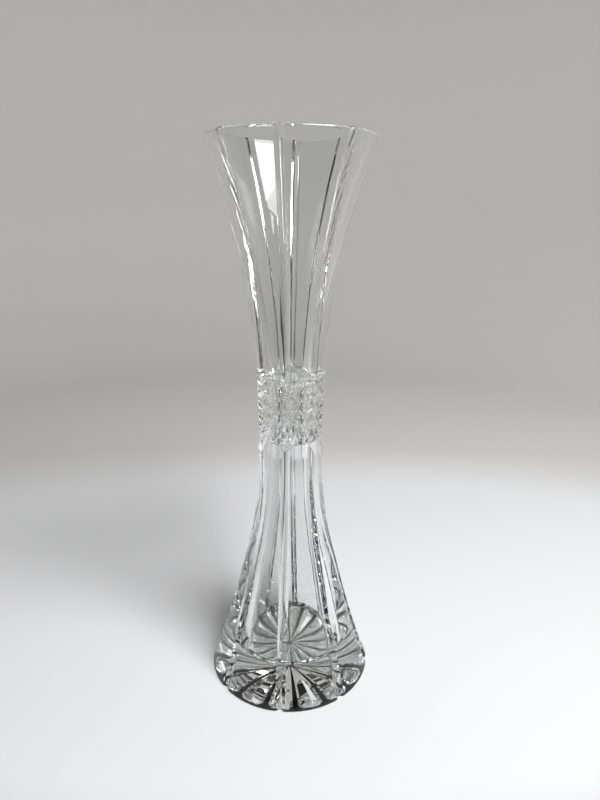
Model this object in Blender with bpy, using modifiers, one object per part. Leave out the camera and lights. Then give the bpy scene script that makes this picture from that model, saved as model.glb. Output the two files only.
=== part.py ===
"""Cut crystal vase: a flared trumpet bowl and a flared foot, joined at a collar of cut diamonds.

Metres, +Z up. The origin is the centre of the resting face and Z is the vase's axis.
The vase is three gathers of glass welded hot, one above the other, and then wheel-cut:
trumpet_bowl, diamond_collar and flared_foot, each one closed solid.
"""

import math

import bmesh
import bpy
from mathutils import Matrix, Vector

# Driving dimensions
HEIGHT = 0.300                 # resting face to rim
FOOT_RADIUS = 0.0472
RIM_RADIUS = 0.0422
WAIST_RADIUS = 0.0186          # lower edge of the trumpet
COLLAR_TOP_RADIUS = 0.0184     # over the points of the diamonds
COLLAR_BOTTOM_RADIUS = 0.0176
RIM_WALL = 0.0038              # glass thickness at the rim
NECK_BORE_RADIUS = 0.0098

# Heights of the two mitred rings where the gathers meet
UPPER_JOINT_Z = 0.1800
LOWER_JOINT_Z = 0.1455
JOINT_GAP = 0.0003
MITRE_ROOT_RADIUS = 0.0160
TRUMPET_FOOT_Z = 0.1820   # trumpet's lower edge, above the upper ring
COLLAR_TOP_Z = 0.1786
COLLAR_BOTTOM_Z = 0.1468
SHOULDER_Z = 0.1393       # foot's upper edge, below the lower ring

# Lip
LIP_HEIGHT = 0.0018
LIP_INSET = 0.0016
LIP_INNER_BEVEL = 0.0006

# Long mitre cuts down the trumpet and the foot, made by a V-edged wheel
CUT_COUNT = 8
CUT_TURN = math.radians(-7.0)  # first cut, from the front (-Y) towards +X
TRUMPET_CUT_DEPTH = 0.0020
FOOT_CUT_DEPTH = 0.0022
MITRE_SLOPE = 0.85             # how fast the wheel's flanks rise on each side
MITRE_WEAR = 0.0003            # half the width of the wheel's worn edge
# Cut by eye: degrees from even spacing, round from the front cut
TRUMPET_CUT_ERRORS = (0.0, 2.0, 4.0, 9.0, 2.5, 1.0, 2.0, 3.0)
FOOT_CUT_ERRORS = (0.0,) * CUT_COUNT

# Diamonds round the collar
DIAMOND_COUNT = 24
DIAMOND_HALF_ROWS = 9
DIAMOND_DEPTH = 0.0013

# Foot
FOOT_SHOULDER_RADIUS = 0.0182
CAVITY_FLOOR_Z = 0.0150
CAVITY_FLOOR_RADIUS = 0.0260
CAVITY_CORNER = 0.0040
FOOT_EDGE_BEVEL = 0.0008

# Star under the foot
STAR_RAYS = 16
RAY_INNER_RADIUS = 0.0010
RAY_WIDEST_RADIUS = 0.0415
RAY_OUTER_RADIUS = 0.0445
RAY_HALF_WIDTH = 0.0052
RAY_DEPTH = 0.0030

# Facets of the turned and swept shapes
TURN_STEPS = 48
OUTER_SPAN_STEPS = 2
INNER_SPAN_STEPS = 1
CUTTER_OVERLAP = 0.004
CUTTER_RISE = 0.002
MERGE_DISTANCE = 0.00001
SHARP_ANGLE = math.radians(28.0)

CRYSTAL_COLOUR = (0.93, 0.96, 0.95, 1.0)
CRYSTAL_IOR = 1.54


def clear_scene():
    for item in list(bpy.data.objects):
        bpy.data.objects.remove(item, do_unlink=True)


def new_collection(name):
    collection = bpy.data.collections.new(name)
    bpy.context.scene.collection.children.link(collection)
    return collection


def crystal(name, roughness):
    material = bpy.data.materials.new(name)
    material.use_nodes = True
    shader = material.node_tree.nodes["Principled BSDF"]
    shader.inputs["Base Color"].default_value = CRYSTAL_COLOUR
    shader.inputs["Metallic"].default_value = 0.0
    shader.inputs["Roughness"].default_value = roughness
    shader.inputs["IOR"].default_value = CRYSTAL_IOR
    shader.inputs["Transmission Weight"].default_value = 1.0
    return material


def smooth_line(points, steps):
    """A Catmull-Rom curve through (radius, height) points."""
    padded = [2 * Vector(points[0]) - Vector(points[1])]
    padded += [Vector(p) for p in points]
    padded.append(2 * Vector(points[-1]) - Vector(points[-2]))
    line = []
    for a, b, c, d in zip(padded, padded[1:], padded[2:], padded[3:]):
        for step in range(steps):
            t = step / steps
            line.append(
                0.5 * (2 * b + (c - a) * t + (2 * a - 5 * b + 4 * c - d) * t * t
                       + (3 * b - a - 3 * c + d) * t ** 3)
            )
    line.append(Vector(points[-1]))
    return line


def trumpet_line():
    """Outer line of the trumpet, from the lip's lower edge down to its lower edge."""
    return smooth_line(
        [
            (RIM_RADIUS, HEIGHT - LIP_HEIGHT),
            (0.0391, 0.2885),
            (0.0350, 0.2760),
            (0.0311, 0.2620),
            (0.0269, 0.2460),
            (0.0237, 0.2300),
            (0.0213, 0.2140),
            (0.0196, 0.1980),
            (WAIST_RADIUS, TRUMPET_FOOT_Z),
        ],
        OUTER_SPAN_STEPS,
    )


def bowl_line():
    """Inner line of the trumpet, from the joint up to the rim."""
    return smooth_line(
        [
            (NECK_BORE_RADIUS, UPPER_JOINT_Z + JOINT_GAP / 2),
            (0.0116, 0.1980),
            (0.0139, 0.2140),
            (0.0169, 0.2300),
            (0.0206, 0.2460),
            (0.0253, 0.2620),
            (0.0297, 0.2760),
            (0.0341, 0.2880),
            (RIM_RADIUS - RIM_WALL, HEIGHT - LIP_INNER_BEVEL),
        ],
        INNER_SPAN_STEPS,
    )


def foot_line():
    """Outer line of the foot, from the shoulder down to the edge above the resting face."""
    return smooth_line(
        [
            (FOOT_SHOULDER_RADIUS, SHOULDER_Z),
            (0.0182, 0.1200),
            (0.0195, 0.1060),
            (0.0213, 0.0930),
            (0.0241, 0.0800),
            (0.0276, 0.0665),
            (0.0309, 0.0528),
            (0.0346, 0.0392),
            (0.0390, 0.0245),
            (0.0437, 0.0100),
            (FOOT_RADIUS, FOOT_EDGE_BEVEL),
        ],
        OUTER_SPAN_STEPS,
    )


def cavity_line():
    """Inner line of the foot, from the cavity's rounded corner up to the joint."""
    return smooth_line(
        [
            (CAVITY_FLOOR_RADIUS, CAVITY_FLOOR_Z + CAVITY_CORNER),
            (0.0243, 0.0300),
            (0.0205, 0.0500),
            (0.0178, 0.0650),
            (0.0147, 0.0800),
            (0.0118, 0.1000),
            (0.0102, 0.1200),
            (NECK_BORE_RADIUS, LOWER_JOINT_Z - JOINT_GAP / 2),
        ],
        INNER_SPAN_STEPS,
    )


def mesh_object(name, vertices, edges, faces, collection):
    mesh = bpy.data.meshes.new(name)
    mesh.from_pydata(vertices, edges, faces)
    thing = bpy.data.objects.new(name, mesh)
    collection.objects.link(thing)
    return thing


def turned(name, profile, closed, collection):
    """A solid of revolution: the profile of (radius, height) points turned about Z."""
    points = [(radius, 0.0, height) for radius, height in profile]
    edges = [(i, i + 1) for i in range(len(points) - 1)]
    if closed:
        edges.append((len(points) - 1, 0))
    thing = mesh_object(name, points, edges, [], collection)
    screw = thing.modifiers.new("turn", "SCREW")
    screw.axis = "Z"
    screw.angle = 2 * math.pi
    screw.steps = TURN_STEPS
    screw.render_steps = TURN_STEPS
    screw.use_merge_vertices = True
    screw.merge_threshold = MERGE_DISTANCE
    return thing


def make_cutter(thing):
    thing.hide_render = True
    thing.display_type = "WIRE"
    return thing


def cut(target, cutter):
    boolean = target.modifiers.new(cutter.name, "BOOLEAN")
    boolean.operation = "DIFFERENCE"
    boolean.solver = "EXACT"
    boolean.object = cutter


def run_past(line):
    """A line carried on past both of its ends, so that a cutter leaves the glass cleanly."""
    start = line[0] + (line[0] - line[1]).normalized() * CUTTER_OVERLAP
    end = line[-1] + (line[-1] - line[-2]).normalized() * CUTTER_OVERLAP
    return [start] + line + [end]


def mitre_cutter(name, path, depth, angle, collection):
    """A bar with a blunt V section that follows the path at one angle about Z."""
    flank = (depth + CUTTER_RISE) / MITRE_SLOPE
    section = [
        (-depth, -MITRE_WEAR),
        (-depth, MITRE_WEAR),
        (CUTTER_RISE, MITRE_WEAR + flank),
        (CUTTER_RISE, -MITRE_WEAR - flank),
    ]
    bm = bmesh.new()
    rings = []
    for i, point in enumerate(path):
        along = (path[min(i + 1, len(path) - 1)] - path[max(i - 1, 0)]).normalized()
        out = Vector((-along.y, along.x))
        ring = []
        for rise, sideways in section:
            radial = point + out * rise
            ring.append(bm.verts.new((radial.x, sideways, radial.y)))
        rings.append(ring)
    sides = len(section)
    for upper, lower in zip(rings, rings[1:]):
        for side in range(sides):
            after = (side + 1) % sides
            bm.faces.new((upper[side], upper[after], lower[after], lower[side]))
    bm.faces.new(rings[0])
    bm.faces.new(rings[-1])
    bmesh.ops.recalc_face_normals(bm, faces=bm.faces)
    bmesh.ops.rotate(bm, verts=bm.verts, matrix=Matrix.Rotation(angle - math.pi / 2, 3, "Z"))
    mesh = bpy.data.meshes.new(name)
    bm.to_mesh(mesh)
    bm.free()
    cutter = bpy.data.objects.new(name, mesh)
    collection.objects.link(cutter)
    return make_cutter(cutter)


def cut_mitres(target, line, depth, errors, cutters):
    path = run_past(line)
    for i, error in enumerate(errors):
        angle = CUT_TURN + 2 * math.pi * i / CUT_COUNT + math.radians(error)
        cut(target, mitre_cutter(f"{target.name}_mitre_{i + 1}", path, depth, angle, cutters))


def ray_cutter(name, angle, collection):
    """A long four-sided spindle that cuts one V-shaped ray of the star."""
    corners = [
        (RAY_INNER_RADIUS, 0.0, 0.0),
        (RAY_OUTER_RADIUS, 0.0, 0.0),
        (RAY_WIDEST_RADIUS, RAY_HALF_WIDTH, 0.0),
        (RAY_WIDEST_RADIUS, -RAY_HALF_WIDTH, 0.0),
        (RAY_WIDEST_RADIUS, 0.0, RAY_DEPTH),
        (RAY_WIDEST_RADIUS, 0.0, -RAY_DEPTH),
    ]
    bm = bmesh.new()
    for corner in corners:
        bm.verts.new(corner)
    bmesh.ops.convex_hull(bm, input=bm.verts)
    bmesh.ops.recalc_face_normals(bm, faces=bm.faces)
    bmesh.ops.rotate(bm, verts=bm.verts, matrix=Matrix.Rotation(angle - math.pi / 2, 3, "Z"))
    mesh = bpy.data.meshes.new(name)
    bm.to_mesh(mesh)
    bm.free()
    cutter = bpy.data.objects.new(name, mesh)
    collection.objects.link(cutter)
    return make_cutter(cutter)


def cut_star(target, cutters):
    for i in range(STAR_RAYS):
        angle = CUT_TURN + 2 * math.pi * i / STAR_RAYS
        cut(target, ray_cutter(f"star_ray_{i + 1}", angle, cutters))


def build_trumpet(parts, cutters):
    joint = UPPER_JOINT_Z + JOINT_GAP / 2
    outer = trumpet_line()
    profile = [(RIM_RADIUS - LIP_INSET, HEIGHT)]
    profile += [tuple(point) for point in outer]
    profile.append((MITRE_ROOT_RADIUS, joint))
    profile += [tuple(point) for point in bowl_line()]
    profile.append((RIM_RADIUS - RIM_WALL + LIP_INNER_BEVEL, HEIGHT))
    trumpet = turned("trumpet_bowl", profile, True, parts)
    cut_mitres(trumpet, outer, TRUMPET_CUT_DEPTH, TRUMPET_CUT_ERRORS, cutters)
    return trumpet


def build_collar(parts):
    """A tube whose outside is a lattice of four-sided points, split along the valleys."""
    columns = 2 * DIAMOND_COUNT
    rows = DIAMOND_HALF_ROWS
    bm = bmesh.new()

    def ring(radii, height):
        loop = []
        for column, radius in enumerate(radii):
            turn = CUT_TURN - math.pi / 2 + 2 * math.pi * column / columns
            loop.append(bm.verts.new((radius * math.cos(turn), radius * math.sin(turn), height)))
        return loop

    def band(lower, upper):
        for column in range(columns):
            after = (column + 1) % columns
            bm.faces.new((lower[column], lower[after], upper[after], upper[column]))

    lattice = []
    for row in range(rows + 1):
        share = row / rows
        height = COLLAR_BOTTOM_Z + (COLLAR_TOP_Z - COLLAR_BOTTOM_Z) * share
        point_radius = COLLAR_BOTTOM_RADIUS + (COLLAR_TOP_RADIUS - COLLAR_BOTTOM_RADIUS) * share
        radii = [
            point_radius - (DIAMOND_DEPTH if (row + column) % 2 == 0 else 0.0)
            for column in range(columns)
        ]
        lattice.append(ring(radii, height))
    for row in range(rows):
        lower, upper = lattice[row], lattice[row + 1]
        for column in range(columns):
            after = (column + 1) % columns
            a, b, c, d = lower[column], lower[after], upper[after], upper[column]
            if (row + column) % 2 == 0:
                bm.faces.new((a, b, c))
                bm.faces.new((a, c, d))
            else:
                bm.faces.new((a, b, d))
                bm.faces.new((b, c, d))
    lower_joint = LOWER_JOINT_Z + JOINT_GAP / 2
    upper_joint = UPPER_JOINT_Z - JOINT_GAP / 2
    outer_bottom = ring([MITRE_ROOT_RADIUS] * columns, lower_joint)
    outer_top = ring([MITRE_ROOT_RADIUS] * columns, upper_joint)
    bore_bottom = ring([NECK_BORE_RADIUS] * columns, lower_joint)
    bore_top = ring([NECK_BORE_RADIUS] * columns, upper_joint)
    band(outer_bottom, lattice[0])
    band(lattice[-1], outer_top)
    band(outer_top, bore_top)
    band(bore_top, bore_bottom)
    band(bore_bottom, outer_bottom)
    mesh = bpy.data.meshes.new("diamond_collar")
    bm.to_mesh(mesh)
    bm.free()
    collar = bpy.data.objects.new("diamond_collar", mesh)
    parts.objects.link(collar)
    return collar


def build_foot(parts, cutters):
    outer = foot_line()
    profile = [(0.0, CAVITY_FLOOR_Z), (CAVITY_FLOOR_RADIUS - CAVITY_CORNER, CAVITY_FLOOR_Z)]
    profile += [tuple(point) for point in cavity_line()]
    profile.append((MITRE_ROOT_RADIUS, LOWER_JOINT_Z - JOINT_GAP / 2))
    profile += [tuple(point) for point in outer]
    profile += [(FOOT_RADIUS - FOOT_EDGE_BEVEL, 0.0), (0.0, 0.0)]
    foot = turned("flared_foot", profile, False, parts)
    cut_mitres(foot, outer, FOOT_CUT_DEPTH, FOOT_CUT_ERRORS, cutters)
    cut_star(foot, cutters)
    return foot


def finish(thing, roughness):
    thing.data.materials.append(crystal(f"{thing.name}_crystal", roughness))
    thing.data.shade_smooth()
    thing.data.set_sharp_from_angle(angle=SHARP_ANGLE)


def main():
    clear_scene()
    parts = new_collection("cut_crystal_vase")
    cutters = new_collection("cutters")
    finish(build_trumpet(parts, cutters), 0.01)
    finish(build_collar(parts), 0.02)
    finish(build_foot(parts, cutters), 0.01)


main()
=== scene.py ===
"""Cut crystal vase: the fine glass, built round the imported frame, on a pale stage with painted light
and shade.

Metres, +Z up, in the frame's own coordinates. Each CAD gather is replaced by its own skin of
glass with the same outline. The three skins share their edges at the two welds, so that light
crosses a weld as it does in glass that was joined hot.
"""

import math

import bmesh
import bpy
from mathutils import Matrix, Vector


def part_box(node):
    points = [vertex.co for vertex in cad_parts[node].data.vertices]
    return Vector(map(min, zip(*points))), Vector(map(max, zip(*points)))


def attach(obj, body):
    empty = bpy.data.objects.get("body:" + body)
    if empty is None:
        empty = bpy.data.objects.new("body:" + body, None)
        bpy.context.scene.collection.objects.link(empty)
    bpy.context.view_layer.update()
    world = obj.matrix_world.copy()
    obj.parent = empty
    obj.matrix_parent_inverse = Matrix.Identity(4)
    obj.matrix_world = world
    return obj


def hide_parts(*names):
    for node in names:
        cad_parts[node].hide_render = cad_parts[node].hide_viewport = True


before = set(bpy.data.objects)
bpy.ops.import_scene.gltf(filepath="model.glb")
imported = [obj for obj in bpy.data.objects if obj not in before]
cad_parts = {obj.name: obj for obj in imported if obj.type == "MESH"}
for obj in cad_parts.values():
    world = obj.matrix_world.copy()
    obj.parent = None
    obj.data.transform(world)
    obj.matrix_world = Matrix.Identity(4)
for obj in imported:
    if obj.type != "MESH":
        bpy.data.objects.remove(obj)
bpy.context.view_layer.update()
trumpet_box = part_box("trumpet_bowl")
collar_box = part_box("diamond_collar")
foot_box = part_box("flared_foot")

# Driving dimensions, from the frame where it holds them
HEIGHT = trumpet_box[1][2]
FOOT_RADIUS = foot_box[1][0]
RIM_RADIUS = trumpet_box[1][0]
UPPER_JOINT_Z = (trumpet_box[0][2] + collar_box[1][2]) / 2
LOWER_JOINT_Z = (foot_box[1][2] + collar_box[0][2]) / 2
WAIST_RADIUS = 0.0186
NECK_BORE_RADIUS = 0.0098
RIM_WALL = 0.0038

# Mitred rings at the welds
MITRE_ROOT_RADIUS = 0.0160
TRUMPET_FOOT_Z = 0.1820
COLLAR_TOP_Z = 0.1786
COLLAR_BOTTOM_Z = 0.1468
SHOULDER_Z = 0.1393
FOOT_SHOULDER_RADIUS = 0.0182

# Lip
LIP_HEIGHT = 0.0018
LIP_INSET = 0.0016
LIP_INNER_BEVEL = 0.0006
LIP_FULLNESS = 0.0002

# Long mitre cuts: the wheel's flanks rise by MITRE_SLOPE and its edge is worn round
CUT_COUNT = 8
CUT_TURN = math.radians(-7.0)
TRUMPET_CUT_DEPTH = 0.0020
FOOT_CUT_DEPTH = 0.0022
MITRE_SLOPE = 0.85
MITRE_WEAR = 0.0003
LEAST_CUT_EDGE = math.radians(0.9)
# The cutter's eye spaced the trumpet's cuts: degrees from even, round from the front cut
TRUMPET_CUT_ERRORS = (0.0, 2.0, 4.0, 9.0, 2.5, 1.0, 2.0, 3.0)
FOOT_CUT_ERRORS = (0.0,) * CUT_COUNT

# Diamonds round the collar, one to each 2 * DIAMOND_STEPS columns
DIAMOND_HALF_ROWS = 9
DIAMOND_DEPTH = 0.0013
COLLAR_TOP_RADIUS = 0.0184
COLLAR_BOTTOM_RADIUS = 0.0176

# Foot
CAVITY_FLOOR_Z = 0.0150
CAVITY_FLOOR_RADIUS = 0.0260
CAVITY_CORNER = 0.0040
FOOT_EDGE_BEVEL = 0.0008
FOOT_EDGE_EASE = 0.0001
RESTING_RING_INSET = 0.0015

# Star under the foot
STAR_RAYS = 16
RAY_INNER_RADIUS = 0.0010
RAY_WIDEST_RADIUS = 0.0415
RAY_OUTER_RADIUS = 0.0445
RAY_HALF_WIDTH = 0.0052
RAY_DEPTH = 0.0030
STAR_MIDDLE_SHARE = 0.6
LEAST_RAY_EDGE = math.radians(1.0)

# Mesh density
CUT_COLUMNS = 12
PANEL_COLUMNS = 18
MIDDLE_CROWDING = 1.6          # above 1, columns crowd towards a cut's middle
EASING_RINGS = 6               # rings over which a cut ring eases into the weld's even one
WALL_STEPS = 10
LIP_STEPS = 12
BORE_STEPS = 12
CORNER_STEPS = 8
EDGE_BEVEL_STEPS = 6
RAY_STEPS = 24
RAY_TIP_STEPS = 6
BETWEEN_RAY_COLUMNS = 10
CAVITY_FLOOR_STEPS = 12
COLUMNS = CUT_COUNT * (CUT_COLUMNS + PANEL_COLUMNS)
ROW_STEPS = 12
DIAMOND_STEPS = 5
SHARP_ANGLE = math.radians(24.0)

# Glass and light paths: light reflects many times inside a cut before it leaves
CRYSTAL_IOR = 1.54
LIGHT_BOUNCES = 64

# Stage
FLOOR_RADIUS = 0.70
WALL_RADIUS = 1.00
WALL_HEIGHT = 1.05
BEND_STEPS = 12
STAGE_STEPS = 128


# ---------------------------------------------------------------- outlines


def smooth_line(points, steps):
    """A Catmull-Rom curve through (radius, height) points."""
    padded = [2 * Vector(points[0]) - Vector(points[1])]
    padded += [Vector(p) for p in points]
    padded.append(2 * Vector(points[-1]) - Vector(points[-2]))
    line = []
    for a, b, c, d in zip(padded, padded[1:], padded[2:], padded[3:]):
        for step in range(steps):
            t = step / steps
            line.append(
                0.5 * (2 * b + (c - a) * t + (2 * a - 5 * b + 4 * c - d) * t * t
                       + (3 * b - a - 3 * c + d) * t ** 3)
            )
    line.append(Vector(points[-1]))
    return line


def straight(start, end, steps):
    """Points from start to end, without end."""
    return [Vector(start).lerp(Vector(end), i / steps) for i in range(steps)]


def quarter_round(start, corner, end, steps):
    """A rounded corner as a quadratic curve, without its last point."""
    a, b, c = Vector(start), Vector(corner), Vector(end)
    line = []
    for i in range(steps):
        t = i / steps
        line.append(a * (1 - t) ** 2 + b * 2 * t * (1 - t) + c * t * t)
    return line


def trumpet_line():
    return smooth_line(
        [
            (RIM_RADIUS, HEIGHT - LIP_HEIGHT),
            (0.0391, 0.2885),
            (0.0350, 0.2760),
            (0.0311, 0.2620),
            (0.0269, 0.2460),
            (0.0237, 0.2300),
            (0.0213, 0.2140),
            (0.0196, 0.1980),
            (WAIST_RADIUS, TRUMPET_FOOT_Z),
        ],
        ROW_STEPS,
    )


def bowl_line():
    return smooth_line(
        [
            (NECK_BORE_RADIUS, UPPER_JOINT_Z),
            (0.0116, 0.1980),
            (0.0139, 0.2140),
            (0.0169, 0.2300),
            (0.0206, 0.2460),
            (0.0253, 0.2620),
            (0.0297, 0.2760),
            (0.0341, 0.2880),
            (RIM_RADIUS - RIM_WALL, HEIGHT - LIP_INNER_BEVEL),
        ],
        ROW_STEPS,
    )


def foot_line():
    return smooth_line(
        [
            (FOOT_SHOULDER_RADIUS, SHOULDER_Z),
            (0.0182, 0.1200),
            (0.0195, 0.1060),
            (0.0213, 0.0930),
            (0.0241, 0.0800),
            (0.0276, 0.0665),
            (0.0309, 0.0528),
            (0.0346, 0.0392),
            (0.0390, 0.0245),
            (0.0437, 0.0100),
            (FOOT_RADIUS, FOOT_EDGE_BEVEL),
        ],
        ROW_STEPS,
    )


def cavity_line():
    return smooth_line(
        [
            (CAVITY_FLOOR_RADIUS, CAVITY_FLOOR_Z + CAVITY_CORNER),
            (0.0243, 0.0300),
            (0.0205, 0.0500),
            (0.0178, 0.0650),
            (0.0147, 0.0800),
            (0.0118, 0.1000),
            (0.0102, 0.1200),
            (NECK_BORE_RADIUS, LOWER_JOINT_Z),
        ],
        ROW_STEPS,
    )


# ---------------------------------------------------------------- rings of points


def even_ring(radius, height):
    """COLUMNS points evenly round the axis."""
    ring = []
    for column in range(COLUMNS):
        turn = 2 * math.pi * column / COLUMNS
        ring.append((radius, turn, height))
    return ring


def cut_reach(bottom, turn):
    """Radius of a mitre cut's flank at an angle from its middle; bottom is its deepest radius."""
    reach = bottom / math.cos(turn)
    for _ in range(4):
        aside = reach * math.sin(turn)
        rise = MITRE_SLOPE * (math.hypot(aside, MITRE_WEAR) - MITRE_WEAR)
        reach = (bottom + rise) / math.cos(turn)
    return reach


def cut_edge(radius, bottom):
    """Half the angle that the cut takes up where it breaks through a circle of this radius."""
    edge = 0.0
    if bottom < radius:
        for _ in range(6):
            rise = max(0.0, radius * math.cos(edge) - bottom)
            aside = math.sqrt((rise / MITRE_SLOPE + MITRE_WEAR) ** 2 - MITRE_WEAR ** 2)
            edge = math.asin(aside / radius)
    return edge


def cut_ring(radius, bottom, height, errors, evenness=0.0):
    """A ring cut by the mitres, with columns that follow the cuts' edges.

    evenness 1 spaces the columns evenly, for a ring that meets an even one.
    """
    sector = 2 * math.pi / CUT_COUNT
    edge = max(cut_edge(radius, bottom), LEAST_CUT_EDGE)
    middles = [sector * i + math.radians(error) for i, error in enumerate(errors)]
    middles.append(middles[0] + 2 * math.pi)
    ring = []
    for cut in range(CUT_COUNT):
        middle, after = middles[cut], middles[cut + 1]
        for column in range(CUT_COLUMNS + PANEL_COLUMNS):
            if column <= CUT_COLUMNS:
                share = 2 * column / CUT_COLUMNS - 1
                turn = middle + edge * math.copysign(abs(share) ** MIDDLE_CROWDING, share)
            else:
                share = (column - CUT_COLUMNS) / PANEL_COLUMNS
                turn = middle + edge + (after - middle - 2 * edge) * share
            even = sector * (cut + (column - CUT_COLUMNS / 2) / (CUT_COLUMNS + PANEL_COLUMNS))
            turn += (even - turn) * evenness
            off = min(abs(turn - middle), abs(turn - after))
            reach = min(radius, cut_reach(bottom, off)) if off < sector / 2 else radius
            ring.append((reach, turn, height))
    return ring


def place(radius, turn, height):
    """A world point: turn 0 is the middle of the front cut."""
    at = CUT_TURN - math.pi / 2 + turn
    return (radius * math.cos(at), radius * math.sin(at), height)


class Skin:
    """A mesh made of rings of COLUMNS points each, one after another."""

    def __init__(self):
        self.points = []
        self.faces = []

    def ring(self, points):
        start = len(self.points)
        self.points += [place(*point) for point in points]
        return start

    def bridge(self, first, second, split=None):
        """Faces between two rings, outside out when the first is the lower on an outer wall."""
        for column in range(COLUMNS):
            after = (column + 1) % COLUMNS
            a, b = first + column, first + after
            c, d = second + after, second + column
            side = split(column) if split else None
            if side is None:
                self.faces.append((a, b, c, d))
            elif side:
                self.faces += [(a, b, c), (a, c, d)]
            else:
                self.faces += [(a, b, d), (b, c, d)]

    def cap(self, ring, point):
        """A fan from a ring to one point."""
        middle = len(self.points)
        self.points.append(point)
        for column in range(COLUMNS):
            self.faces.append((ring + column, ring + (column + 1) % COLUMNS, middle))

    def run(self, rings):
        """Adds rings and bridges each to the next."""
        starts = [self.ring(points) for points in rings]
        for first, second in zip(starts, starts[1:]):
            self.bridge(first, second)
        return starts

    def object(self, name):
        mesh = bpy.data.meshes.new(name)
        mesh.from_pydata(self.points, [], self.faces)
        mesh.validate()
        mesh.shade_smooth()
        mesh.set_sharp_from_angle(angle=SHARP_ANGLE)
        thing = bpy.data.objects.new(name, mesh)
        bpy.context.scene.collection.objects.link(thing)
        return thing


# ---------------------------------------------------------------- the three gathers


def cut_bottom(line, height, depth):
    """Deepest radius of a mitre cut at a height: it follows a line and its upper end's direction."""
    rising = sorted(line, key=lambda point: point.y)
    low, high = rising[0], rising[-1]
    if height <= low.y:
        radius = low.x
    elif height >= high.y:
        before = rising[-2]
        radius = high.x + (high.x - before.x) * (height - high.y) / (high.y - before.y)
    else:
        for below, above in zip(rising, rising[1:]):
            if below.y <= height <= above.y:
                share = (height - below.y) / (above.y - below.y)
                radius = below.x + (above.x - below.x) * share
                break
    return radius - depth


def build_trumpet():
    skin = Skin()
    line = trumpet_line()
    outer = straight((MITRE_ROOT_RADIUS, UPPER_JOINT_Z), (WAIST_RADIUS, TRUMPET_FOOT_Z), WALL_STEPS)
    outer += list(reversed(line))
    lip = quarter_round(
        (RIM_RADIUS, HEIGHT - LIP_HEIGHT),
        (RIM_RADIUS + LIP_FULLNESS, HEIGHT - LIP_FULLNESS),
        (RIM_RADIUS - LIP_INSET, HEIGHT),
        LIP_STEPS,
    )[1:]
    rings = []
    for i, point in enumerate(outer + lip):
        evenness = max(0.0, 1.0 - i / EASING_RINGS)
        bottom = cut_bottom(line, point.y, TRUMPET_CUT_DEPTH)
        rings.append(cut_ring(point.x, bottom, point.y, TRUMPET_CUT_ERRORS, evenness))
    inner_rim = RIM_RADIUS - RIM_WALL
    rings.append(even_shifted(inner_rim + LIP_INNER_BEVEL, HEIGHT))
    for point in reversed(bowl_line()):
        rings.append(even_shifted(point.x, point.y))
    skin.run(rings)
    return skin.object("trumpet_glass")


def even_shifted(radius, height):
    """An even ring whose first column stands where a cut ring's first column does."""
    sector = 2 * math.pi / CUT_COUNT
    shift = -sector * CUT_COLUMNS / 2 / (CUT_COLUMNS + PANEL_COLUMNS)
    return [(radius, turn + shift, height) for radius, turn, height in even_ring(radius, height)]


def diamond_height(column, row):
    """0 in the valleys, 1 on the points, on the lattice's finest grid."""
    across = column / (2 * DIAMOND_STEPS)
    up = row / (2 * DIAMOND_STEPS)
    heights = []
    for value in (across + up, across - up):
        share = value % 1.0
        heights.append(2 * min(share, 1.0 - share))
    return min(heights)


def build_collar():
    skin = Skin()
    rows = DIAMOND_HALF_ROWS * DIAMOND_STEPS
    lattice = []
    for row in range(rows + 1):
        share = row / rows
        height = COLLAR_BOTTOM_Z + (COLLAR_TOP_Z - COLLAR_BOTTOM_Z) * share
        radius = COLLAR_BOTTOM_RADIUS + (COLLAR_TOP_RADIUS - COLLAR_BOTTOM_RADIUS) * share
        ring = [
            (radius - DIAMOND_DEPTH * (1 - diamond_height(column, row)), turn, height)
            for column, (_, turn, _) in enumerate(even_shifted(radius, height))
        ]
        lattice.append(skin.ring(ring))

    for row in range(rows):
        def split(column, row=row):
            return (column // DIAMOND_STEPS + row // DIAMOND_STEPS) % 2 == 0

        skin.bridge(lattice[row], lattice[row + 1], split)
    bottom = skin.ring(even_shifted(MITRE_ROOT_RADIUS, LOWER_JOINT_Z))
    top = skin.ring(even_shifted(MITRE_ROOT_RADIUS, UPPER_JOINT_Z))
    skin.bridge(bottom, lattice[0])
    skin.bridge(lattice[-1], top)
    bore = [
        even_shifted(NECK_BORE_RADIUS, UPPER_JOINT_Z + (LOWER_JOINT_Z - UPPER_JOINT_Z) * i / BORE_STEPS)
        for i in range(BORE_STEPS + 1)
    ]
    skin.run(bore)
    return skin.object("collar_glass")


def ray_half_width(radius):
    if radius <= RAY_INNER_RADIUS or radius >= RAY_OUTER_RADIUS:
        return 0.0
    if radius <= RAY_WIDEST_RADIUS:
        share = (radius - RAY_INNER_RADIUS) / (RAY_WIDEST_RADIUS - RAY_INNER_RADIUS)
    else:
        share = (RAY_OUTER_RADIUS - radius) / (RAY_OUTER_RADIUS - RAY_WIDEST_RADIUS)
    return RAY_HALF_WIDTH * share


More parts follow.
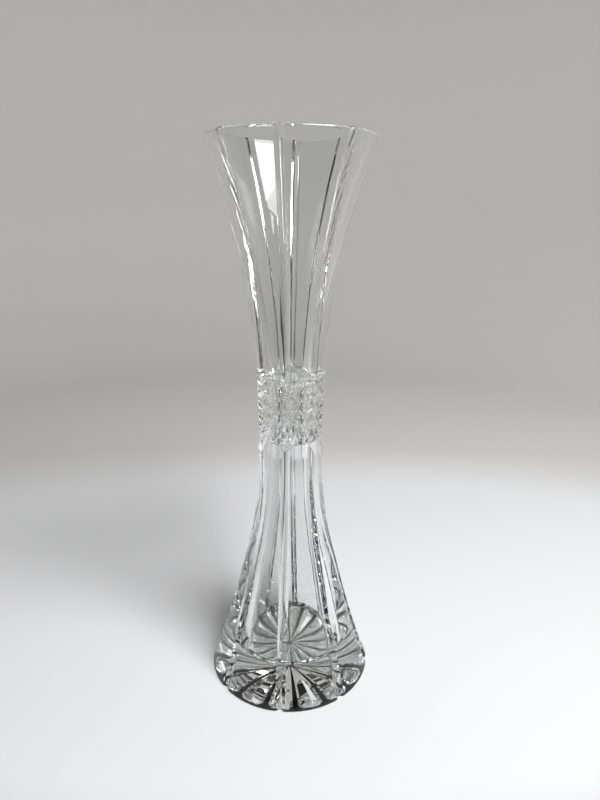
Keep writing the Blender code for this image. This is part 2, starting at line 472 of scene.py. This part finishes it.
def star_ring(radius):
    """A ring of the underside, with columns that follow the rays' edges."""
    half = ray_half_width(radius)
    depth = RAY_DEPTH * half / RAY_HALF_WIDTH
    edge = max(math.atan2(half, radius), LEAST_RAY_EDGE)
    spacing = 2 * math.pi / STAR_RAYS
    ring = []
    land = (PANEL_COLUMNS - BETWEEN_RAY_COLUMNS) // 2
    for cut in range(CUT_COUNT):
        base = cut * 2 * spacing
        turns = [edge * (2 * i / CUT_COLUMNS - 1) for i in range(CUT_COLUMNS)]
        turns += [edge + (spacing - 2 * edge) * i / land for i in range(land)]
        turns += [
            spacing + edge * (2 * i / BETWEEN_RAY_COLUMNS - 1) for i in range(BETWEEN_RAY_COLUMNS)
        ]
        turns += [spacing + edge + (spacing - 2 * edge) * i / land for i in range(land)]
        for turn in turns:
            off = min(abs(turn), abs(turn - spacing), abs(turn - 2 * spacing))
            side = radius * math.sin(off)
            rise = depth * (1 - side / half) if half > 0 and side < half else 0.0
            ring.append((radius, base + turn, rise))
    return ring


def build_foot():
    skin = Skin()
    line = foot_line()
    radii = [RAY_INNER_RADIUS * STAR_MIDDLE_SHARE, RAY_INNER_RADIUS]
    ends = (RAY_INNER_RADIUS, RAY_WIDEST_RADIUS, RAY_OUTER_RADIUS)
    for low, high, steps in zip(ends, ends[1:], (RAY_STEPS, RAY_TIP_STEPS)):
        radii += [low + (high - low) * i / steps for i in range(1, steps + 1)]
    rings = [star_ring(radius) for radius in radii]
    underside_edge = FOOT_RADIUS - FOOT_EDGE_BEVEL
    bottom = cut_bottom(line, 0.0, FOOT_CUT_DEPTH)
    rings.append(cut_ring(underside_edge - RESTING_RING_INSET, bottom, 0.0, FOOT_CUT_ERRORS))
    bevel = quarter_round(
        (underside_edge, 0.0),
        (FOOT_RADIUS - FOOT_EDGE_EASE, 0.0),
        (FOOT_RADIUS, FOOT_EDGE_BEVEL),
        EDGE_BEVEL_STEPS,
    )
    outer = bevel + list(reversed(line))
    shoulder = (FOOT_SHOULDER_RADIUS, SHOULDER_Z)
    outer += straight(shoulder, (MITRE_ROOT_RADIUS, LOWER_JOINT_Z), WALL_STEPS)[1:]
    outer.append(Vector((MITRE_ROOT_RADIUS, LOWER_JOINT_Z)))
    for i, point in enumerate(outer):
        evenness = max(0.0, 1.0 - (len(outer) - 1 - i) / EASING_RINGS)
        bottom = cut_bottom(line, point.y, FOOT_CUT_DEPTH)
        rings.append(cut_ring(point.x, bottom, point.y, FOOT_CUT_ERRORS, evenness))
    starts = skin.run(rings)
    middle = len(skin.points)
    skin.points.append((0.0, 0.0, 0.0))
    for column in range(COLUMNS):
        skin.faces.append((starts[0] + (column + 1) % COLUMNS, starts[0] + column, middle))

    cavity = [
        Vector((CAVITY_FLOOR_RADIUS * i / CAVITY_FLOOR_STEPS, CAVITY_FLOOR_Z))
        for i in range(1, CAVITY_FLOOR_STEPS - 1)
    ]
    cavity += quarter_round(
        (CAVITY_FLOOR_RADIUS - CAVITY_CORNER, CAVITY_FLOOR_Z),
        (CAVITY_FLOOR_RADIUS, CAVITY_FLOOR_Z),
        (CAVITY_FLOOR_RADIUS, CAVITY_FLOOR_Z + CAVITY_CORNER),
        CORNER_STEPS,
    )
    cavity += cavity_line()
    inner = skin.run([even_shifted(point.x, point.y) for point in reversed(cavity)])
    skin.cap(inner[-1], (0.0, 0.0, CAVITY_FLOOR_Z))
    return skin.object("foot_glass")


# ---------------------------------------------------------------- materials


def crystal(name):
    material = bpy.data.materials.new(name)
    material.use_nodes = True
    shader = material.node_tree.nodes["Principled BSDF"]
    shader.inputs["Base Color"].default_value = (0.985, 0.995, 0.99, 1.0)
    shader.inputs["Roughness"].default_value = 0.0
    shader.inputs["IOR"].default_value = CRYSTAL_IOR
    shader.inputs["Transmission Weight"].default_value = 1.0
    return material


def stage_material():
    """A painted pool of light, pale round the vase, fading to painted shade: grey behind it and dark far
    off at the sides and in front.
    """
    material = bpy.data.materials.new("stage_painted_light_and_shade")
    material.use_nodes = True
    nodes = material.node_tree.nodes
    links = material.node_tree.links
    shader = nodes["Principled BSDF"]
    shader.inputs["Roughness"].default_value = 0.6
    shader.inputs["Specular IOR Level"].default_value = 0.2
    place_node = nodes.new("ShaderNodeTexCoord")
    parts = nodes.new("ShaderNodeSeparateXYZ")
    links.new(place_node.outputs["Object"], parts.inputs[0])
    # Painted shade: near black far off at the sides and in front, grey behind the vase.
    behind = soft_step(nodes, links, parts.outputs["Y"], -0.05, 0.32)
    painted_shade_far = colour_mix(nodes, links, behind, (0.05, 0.05, 0.05), (0.64, 0.63, 0.615))
    # Painted pool of light: pale round the vase, fading into the painted shade beyond.
    shift = nodes.new("ShaderNodeVectorMath")
    shift.operation = "MULTIPLY_ADD"
    shift.inputs[1].default_value = (0.45, 1.0, 1.0)
    shift.inputs[2].default_value = (0.0, -0.08, 0.0)
    links.new(place_node.outputs["Object"], shift.inputs[0])
    length = nodes.new("ShaderNodeVectorMath")
    length.operation = "LENGTH"
    links.new(shift.outputs["Vector"], length.inputs[0])
    light_pool_falloff = soft_step(nodes, links, length.outputs["Value"], 0.17, 0.29)
    paint = colour_mix(nodes, links, light_pool_falloff, (0.78, 0.785, 0.80), painted_shade_far)
    links.new(paint, shader.inputs["Base Color"])
    return material


def soft_step(nodes, links, value, low, high):
    """0 below low and 1 above high, with a smooth change between."""
    step = nodes.new("ShaderNodeMapRange")
    step.interpolation_type = "SMOOTHSTEP"
    step.inputs["From Min"].default_value = low
    step.inputs["From Max"].default_value = high
    links.new(value, step.inputs["Value"])
    return step.outputs["Result"]


def colour_mix(nodes, links, share, first, second):
    """A colour between two, each given as numbers or as another node's output."""
    mix = nodes.new("ShaderNodeMix")
    mix.data_type = "RGBA"
    sockets = [socket for socket in mix.inputs if socket.type == "RGBA"]
    links.new(share, mix.inputs[0])
    for socket, colour in zip(sockets, (first, second)):
        if isinstance(colour, tuple):
            socket.default_value = (*colour, 1.0)
        else:
            links.new(colour, socket)
    return [socket for socket in mix.outputs if socket.type == "RGBA"][0]


# ---------------------------------------------------------------- stage, lights and camera


def build_stage():
    """A round floor that curves up into a wall."""
    bend = WALL_RADIUS - FLOOR_RADIUS
    profile = [(0.0, 0.0), (FLOOR_RADIUS, 0.0)]
    for i in range(1, BEND_STEPS + 1):
        turn = math.pi / 2 * i / BEND_STEPS
        profile.append((FLOOR_RADIUS + bend * math.sin(turn), bend * (1 - math.cos(turn))))
    profile.append((WALL_RADIUS, WALL_HEIGHT))
    bm = bmesh.new()
    centre = bm.verts.new((0.0, 0.0, 0.0))
    rings = []
    for radius, height in profile[1:]:
        ring = []
        for step in range(STAGE_STEPS):
            turn = 2 * math.pi * step / STAGE_STEPS
            ring.append(bm.verts.new((radius * math.cos(turn), radius * math.sin(turn), height)))
        rings.append(ring)
    for step in range(STAGE_STEPS):
        after = (step + 1) % STAGE_STEPS
        bm.faces.new((centre, rings[0][step], rings[0][after]))
        for lower, upper in zip(rings, rings[1:]):
            bm.faces.new((lower[step], upper[step], upper[after], lower[after]))
    mesh = bpy.data.meshes.new("stage")
    bm.to_mesh(mesh)
    bm.free()
    mesh.shade_smooth()
    stage = bpy.data.objects.new("stage", mesh)
    bpy.context.scene.collection.objects.link(stage)
    stage.data.materials.append(stage_material())


def area_light(name, place_at, aim_at, width, height, radiance, roll=0.0):
    light = bpy.data.lights.new(name, "AREA")
    light.shape = "RECTANGLE"
    light.size = width
    light.size_y = height
    light.energy = radiance * math.pi * width * height
    thing = bpy.data.objects.new(name, light)
    facing = (Vector(aim_at) - Vector(place_at)).to_track_quat("-Z", "Y").to_matrix().to_4x4()
    thing.matrix_world = Matrix.Translation(place_at) @ facing @ Matrix.Rotation(roll, 4, "Z")
    thing.visible_camera = False
    bpy.context.scene.collection.objects.link(thing)


def build_room():
    """The room beyond the stage: grey behind the vase and dark on the camera's side."""
    world = bpy.data.worlds.new("room")
    world.use_nodes = True
    nodes = world.node_tree.nodes
    links = world.node_tree.links
    direction = nodes.new("ShaderNodeTexCoord")
    parts = nodes.new("ShaderNodeSeparateXYZ")
    links.new(direction.outputs["Generated"], parts.inputs[0])
    behind = soft_step(nodes, links, parts.outputs["Y"], -0.10, 0.60)
    colour = colour_mix(nodes, links, behind, (0.01, 0.01, 0.01), (0.14, 0.14, 0.135))
    links.new(colour, nodes["Background"].inputs["Color"])
    bpy.context.scene.world = world


def build_lights():
    turn = math.radians(44.0)
    rise = math.radians(45.0)
    distance = 0.9
    aim = Vector((0.0, 0.0, 0.28))
    towards = Vector((math.sin(turn) * math.cos(rise), -math.cos(turn) * math.cos(rise), math.sin(rise)))
    area_light("window", aim + distance * towards, aim, 0.58, 0.50, 17.0, math.radians(-21.0))
    area_light("overhead", (0.0, 0.1, 1.35), (0.0, 0.1, 0.0), 0.7, 0.7, 0.4)


def build_camera():
    distance = 0.3144
    eye_height = 0.2624
    pitch = math.radians(17.0)
    yaw = math.radians(-0.95)
    roll = math.radians(0.4)
    data = bpy.data.cameras.new("camera")
    data.sensor_width = 36.0
    data.lens = 27.05
    data.clip_start = 0.01
    camera = bpy.data.objects.new("camera", data)
    camera.matrix_world = (
        Matrix.Translation((0.0, -distance, eye_height))
        @ Matrix.Rotation(yaw, 4, "Z")
        @ Matrix.Rotation(math.pi / 2 - pitch, 4, "X")
        @ Matrix.Rotation(roll, 4, "Z")
    )
    bpy.context.scene.collection.objects.link(camera)
    bpy.context.scene.camera = camera


def dress(piece, node):
    """Gives a skin its glass, hangs it from the root body and hides the CAD gather that it stands for.
    """
    piece.data.materials.append(crystal(f"{piece.name}_crystal"))
    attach(piece, "root")
    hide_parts(node)


dress(build_trumpet(), "trumpet_bowl")
dress(build_collar(), "diamond_collar")
dress(build_foot(), "flared_foot")
build_stage()
build_room()
build_lights()
build_camera()
bpy.context.scene.view_settings.view_transform = "Standard"
bpy.context.scene.cycles.max_bounces = LIGHT_BOUNCES
bpy.context.scene.cycles.transmission_bounces = LIGHT_BOUNCES
bpy.context.scene.cycles.glossy_bounces = LIGHT_BOUNCES
